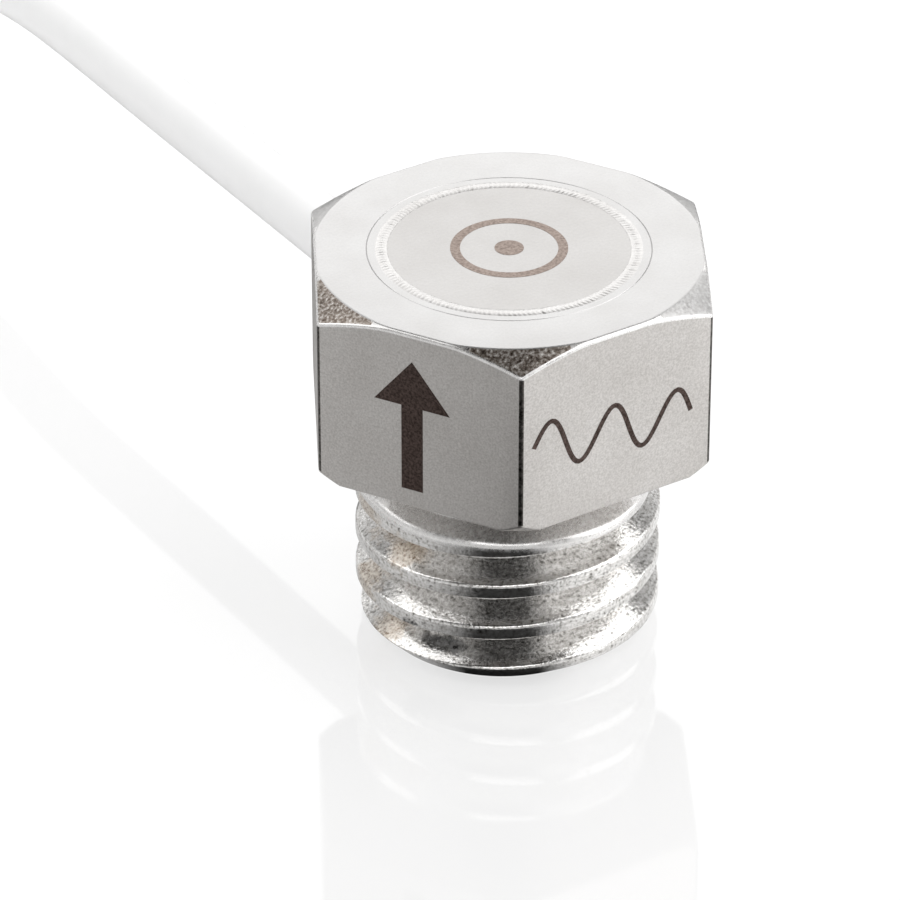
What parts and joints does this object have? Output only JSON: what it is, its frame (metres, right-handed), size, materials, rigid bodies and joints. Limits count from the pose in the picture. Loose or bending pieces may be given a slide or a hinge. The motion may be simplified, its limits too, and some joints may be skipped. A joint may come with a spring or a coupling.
{
  "type": "vibration sensor",
  "caption": "Small stud-mounted vibration sensor with a hexagonal steel head, a welded round cover and an integral white cable that ends in stripped leads.",
  "frame": {"origin": "centre of the stud's end face, where the sensor stands", "axes": "+Z along the stud's axis, up through the head; +Y is the way the cable leaves the head; +X runs through a corner of the hexagon"},
  "size_m": [0.0245, 0.044, 0.0087],
  "materials": {
    "satin_steel": "fine bead-blasted satin with turned chamfers",
    "cover_steel": "fine lapped satin",
    "weld_steel": "bright rippled laser weld",
    "ceramic": "fired alumina",
    "adhesive": "cured epoxy",
    "gold": "bright gold",
    "silicon": "polished silicon",
    "solder": "bright solder and tinned strands",
    "lead_red": "smooth lead insulation",
    "lead_black": "smooth lead insulation",
    "lead_green": "smooth lead insulation",
    "lead_white": "smooth lead insulation",
    "braid": "woven tinned copper",
    "ferrule_brass": "turned",
    "cable_jacket": "smooth white jacket",
    "sealant": "cured epoxy",
    "tie_black": "nylon tie",
    "shrink_sleeve": "shrunk sleeve"
  },
  "bodies": {
    "root": {"housing": "satin_steel", "cover_disc": "cover_steel", "weld_bead": "weld_steel", "board_adhesive": "adhesive", "header_board": "ceramic", "board_tracks": "gold", "die_adhesive": "adhesive", "die_base": "silicon", "die_core": "silicon", "die_cap": "silicon", "die_pads": "gold", "bond_wires": "gold", "solder_joints": "solder", "lead_red": "lead_red", "lead_black": "lead_black", "lead_green": "lead_green", "lead_white": "lead_white", "lead_tips": "solder", "shield_braid": "braid", "shield_ferrule": "ferrule_brass", "jacket_end": "cable_jacket", "cable_seal": "sealant", "cable_jacket": "cable_jacket", "cable_coil": "cable_jacket", "coil_tie": "tie_black", "cable_tail": "cable_jacket", "end_sleeve": "shrink_sleeve", "tail_red": "lead_red", "tail_black": "lead_black", "tail_green": "lead_green", "tail_white": "lead_white", "tail_shield": "braid", "tail_tips": "solder"}
  },
  "joints": []
}
